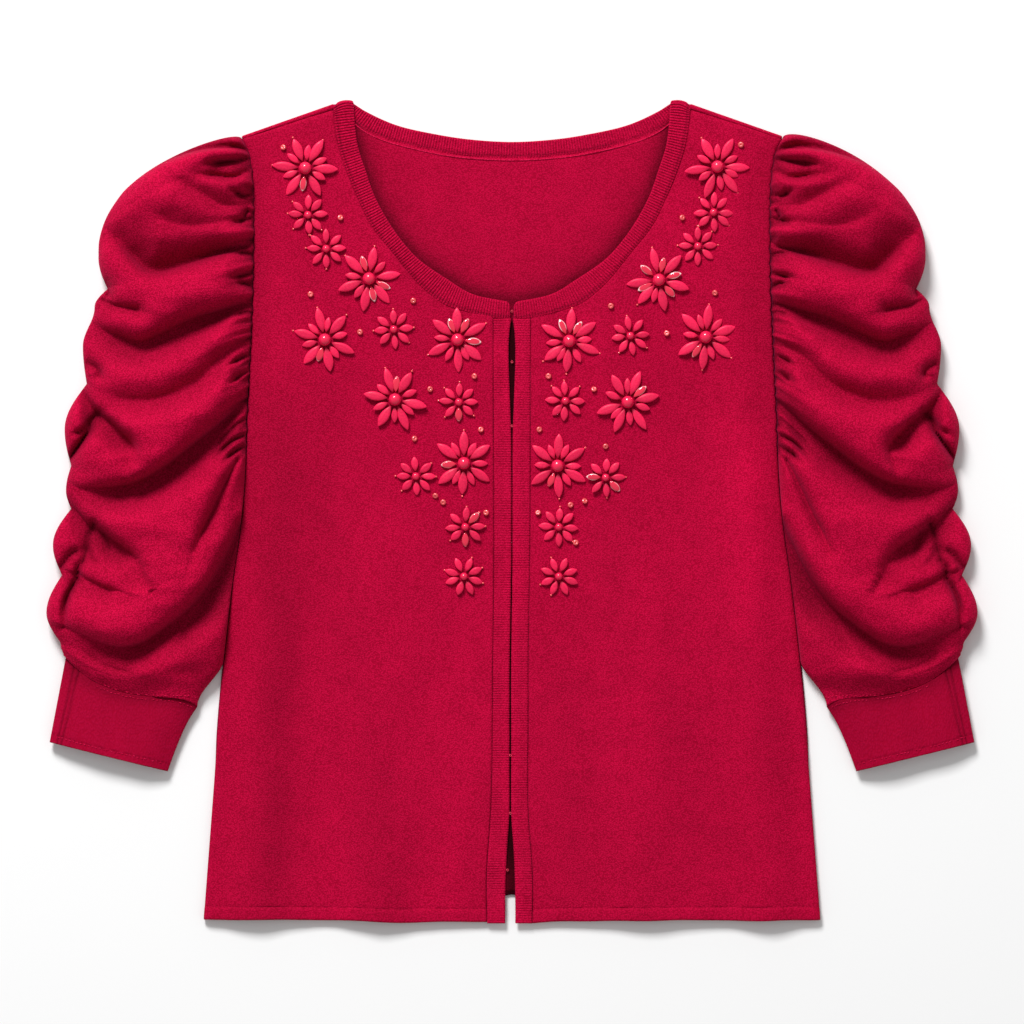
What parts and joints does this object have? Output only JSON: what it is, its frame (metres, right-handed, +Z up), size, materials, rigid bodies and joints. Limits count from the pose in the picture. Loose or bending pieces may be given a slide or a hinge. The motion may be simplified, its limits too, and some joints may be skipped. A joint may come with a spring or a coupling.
{
  "type": "beaded cardigan",
  "caption": "Knit cardigan with gathered short puff sleeves, ribbed round neckline and beaded flowers on both fronts, laid flat on its back.",
  "frame": {"origin": "on the surface that the garment lies on, under the middle of its box", "axes": "+Z up out of the fronts, +Y toward the collar, +X toward the wearer's left sleeve"},
  "size_m": [0.716, 0.6344, 0.042],
  "materials": {
    "knit_cloth": "fine soft knit with a slight bloom",
    "rib_knit": "close ribbed knit",
    "beads": "satin pressed beads and glossy pearls",
    "thread": "matt sewing thread"
  },
  "bodies": {
    "root": {"back": "knit_cloth", "front_left": "knit_cloth", "front_right": "knit_cloth", "band_left": "rib_knit", "band_right": "rib_knit", "neckband_left": "rib_knit", "neckband_right": "rib_knit", "neckband_back": "rib_knit", "sleeve_left": "knit_cloth", "sleeve_right": "knit_cloth", "cuff_left": "rib_knit", "cuff_right": "rib_knit"}
  },
  "joints": []
}
